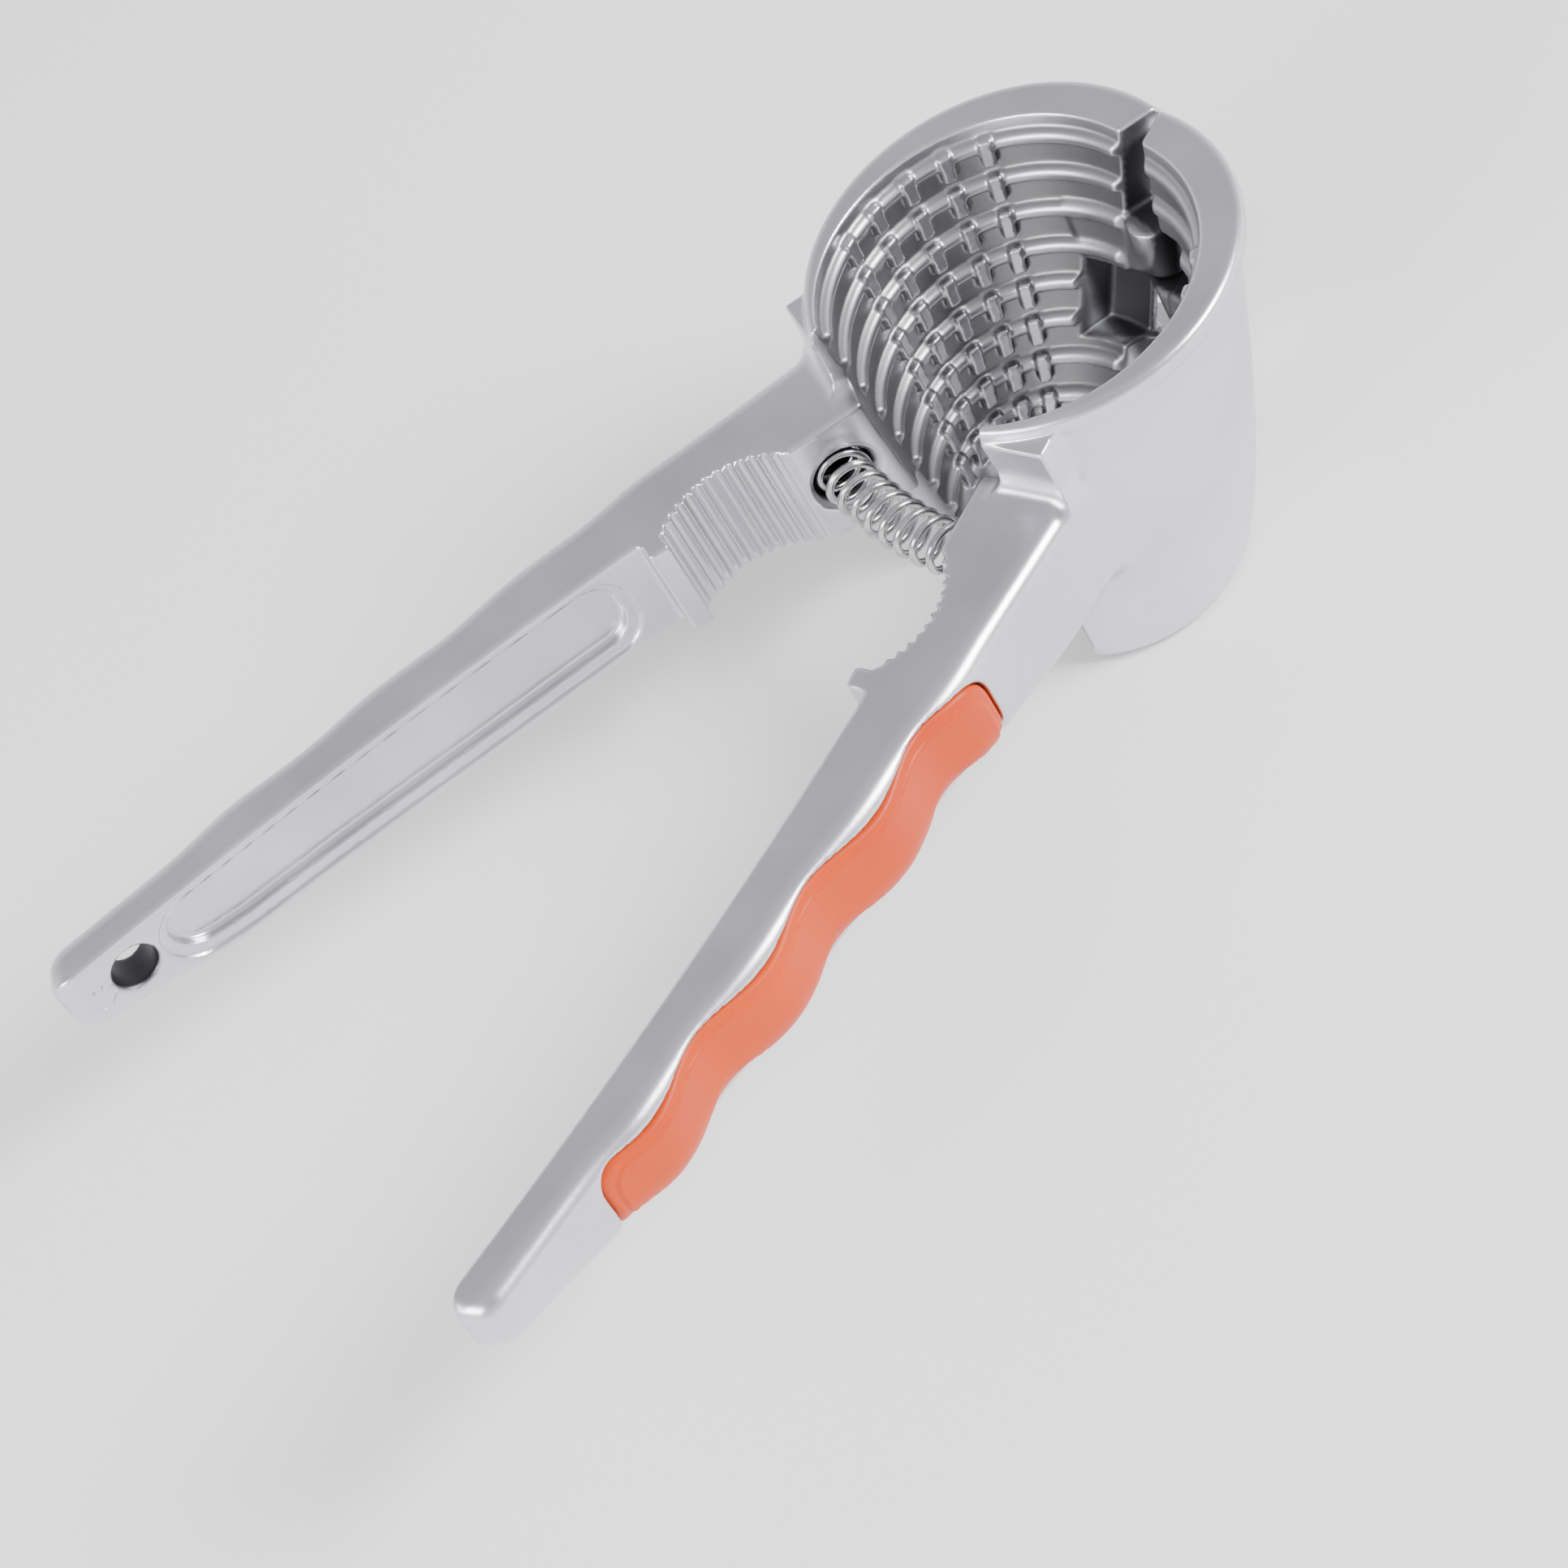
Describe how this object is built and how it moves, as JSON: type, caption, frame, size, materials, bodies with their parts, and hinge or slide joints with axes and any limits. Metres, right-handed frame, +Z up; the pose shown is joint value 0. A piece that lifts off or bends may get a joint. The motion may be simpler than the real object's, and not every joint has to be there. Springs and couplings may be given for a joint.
{
  "type": "hand nutcracker",
  "caption": "Hand nutcracker: a split ribbed cup on a hinge with long sprung handles, a small toothed jaw and inset wavy grips.",
  "frame": {"origin": "under the middle of the whole nutcracker as it rests open, on the plane of the cup's foot", "axes": "+Z up the cup towards its wide mouth and along the hinge pin; -Y from the cup to the handle tips; +X towards the half that swings"},
  "size_m": [0.092, 0.1714, 0.046],
  "materials": {
    "cast_metal": "satin plated die casting",
    "orange_plastic": "soft satin moulded plastic",
    "bright_steel": "bright drawn wire and pin"
  },
  "bodies": {
    "left_half": {"left_casting": "cast_metal", "left_grip": "orange_plastic", "hinge_pin": "bright_steel", "spring": "bright_steel"},
    "right_half": {"right_casting": "cast_metal", "right_grip": "orange_plastic"}
  },
  "joints": [
    {"name": "squeeze", "type": "hinge", "parent": "left_half", "child": "right_half", "pos_m": [0, 0.07709, 0.02], "axis": [0, 0, 1], "range_deg": [-27.2, 0], "stiffness_Nm_per_rad": 0.8, "springref_deg": 6.88, "deforming": ["spring"]}
  ]
}
